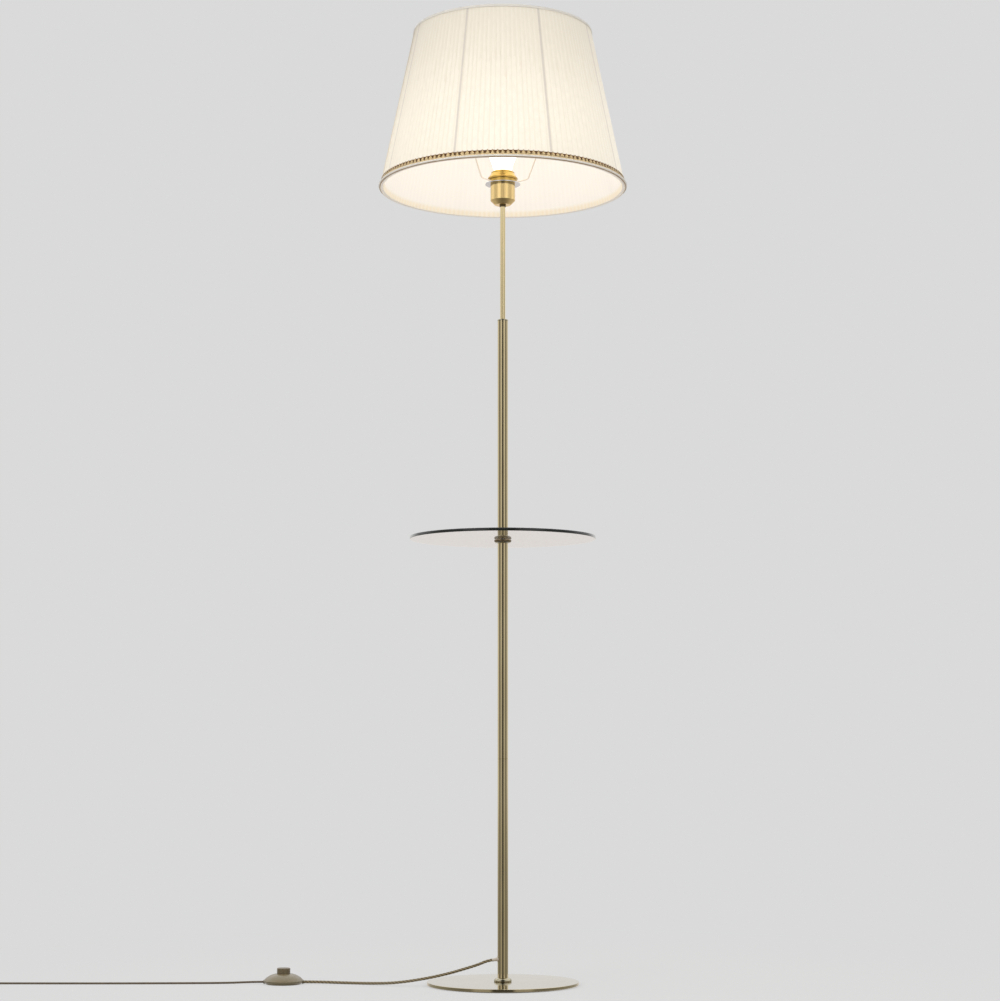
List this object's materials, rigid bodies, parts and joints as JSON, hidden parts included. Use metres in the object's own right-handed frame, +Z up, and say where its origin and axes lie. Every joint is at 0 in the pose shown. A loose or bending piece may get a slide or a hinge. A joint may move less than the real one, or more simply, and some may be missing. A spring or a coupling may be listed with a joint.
{
  "type": "floor lamp with table",
  "caption": "Slender brass stem on a round base with a round glass table half way up, a pleated tapered shade, and a foot switch on its lead.",
  "frame": {"origin": "on the floor under the centre of the round base", "axes": "+Z up along the stem; -X towards the lead and the foot switch; -Y towards the viewer of the picture"},
  "size_m": [1.0725, 0.4076, 1.5479],
  "materials": {
    "polished_plate": "brushed and polished, lacquered",
    "felt": "thin felt",
    "zinc_steel": "zinc plated",
    "antique_brass": "patinated, brushed along the tube",
    "dark_brass": "dark patina",
    "golden_brass": "satin brass",
    "raw_brass": "turned",
    "cable_sheath": "smooth PVC",
    "twisted_lead": "two twisted strands",
    "clear_glass": "clear float glass, ground edge",
    "clear_plastic": "milky",
    "holder_plastic": "moulded",
    "gland_plastic": "translucent moulded",
    "plug_plastic": "moulded",
    "nickel": "nickel plated",
    "khaki_plastic": "satin moulded",
    "silver_steel": "zinc plated",
    "white_wire": "white coated wire",
    "pleated_cloth": "finely pleated cloth",
    "lining_cloth": "thin lining cloth",
    "braid": "woven scallop braid",
    "satin_cord": "satin piping",
    "brown_tape": "woven tape",
    "hem_cloth": "bound hem",
    "frosted_bulb": "frosted"
  },
  "bodies": {
    "stand": {"base_plate": "polished_plate", "base_pad": "felt", "base_screw": "zinc_steel", "base_collar": "antique_brass", "lower_tube_plug": "raw_brass", "lower_tube": "antique_brass", "tube_coupling": "raw_brass", "middle_tube": "antique_brass", "middle_tube_insert": "raw_brass", "table_nipple": "zinc_steel", "upper_tube_insert": "raw_brass", "upper_tube": "antique_brass", "tube_cap": "antique_brass", "rod": "antique_brass", "stem_cable": "cable_sheath", "glass_top": "clear_glass", "glass_bush": "clear_plastic", "table_washers": "clear_plastic", "table_collar_lower": "antique_brass", "table_collar_upper": "antique_brass", "rod_nut": "dark_brass", "rod_locknut": "zinc_steel", "holder_cup": "golden_brass", "holder_body": "holder_plastic", "holder_screw_shell": "raw_brass", "holder_contact": "raw_brass", "cord_gland": "gland_plastic", "lamp_lead": "twisted_lead", "plug_lead": "cable_sheath", "lead_coil": "cable_sheath", "lead_tail": "cable_sheath", "plug_body": "plug_plastic", "plug_pins": "nickel", "switch_base": "khaki_plastic", "switch_cover": "khaki_plastic", "switch_screws": "zinc_steel", "switch_mechanism": "holder_plastic", "switch_spring": "zinc_steel"},
    "shade": {"shade_fitter_ring": "silver_steel", "shade_arms": "white_wire", "shade_top_ring": "white_wire", "shade_bottom_ring": "white_wire", "shade_ribs": "white_wire", "shade_fabric": "pleated_cloth", "shade_lining": "lining_cloth", "shade_trim": "braid", "shade_piping": "satin_cord", "shade_hem_tape": "brown_tape", "shade_top_hem": "hem_cloth"},
    "ring_nut": {"shade_nut": "golden_brass"},
    "bulb": {"bulb_cap": "nickel", "bulb_insulator": "holder_plastic", "bulb_contact": "raw_brass", "bulb_glass": "frosted_bulb"},
    "foot_button": {"switch_button": "khaki_plastic"}
  },
  "joints": [
    {"name": "shade_turn", "type": "hinge", "parent": "stand", "child": "shade", "pos_m": [0, 0, 1.2914], "axis": [0, 0, 1], "continuous": true},
    {"name": "ring_nut_turn", "type": "hinge", "parent": "stand", "child": "ring_nut", "pos_m": [0, 0, 1.2925], "axis": [0, 0, 1], "range_deg": [0, 1080]},
    {"name": "bulb_turn", "type": "hinge", "parent": "stand", "child": "bulb", "pos_m": [0, 0, 1.285], "axis": [0, 0, 1], "range_deg": [0, 900]},
    {"name": "foot_button_press", "type": "slide", "parent": "stand", "child": "foot_button", "axis": [0, 0, -1], "range_m": [0, 0.004], "stiffness_N_per_m": 900, "springref_m": -0.004, "deforming": ["switch_spring"]}
  ]
}
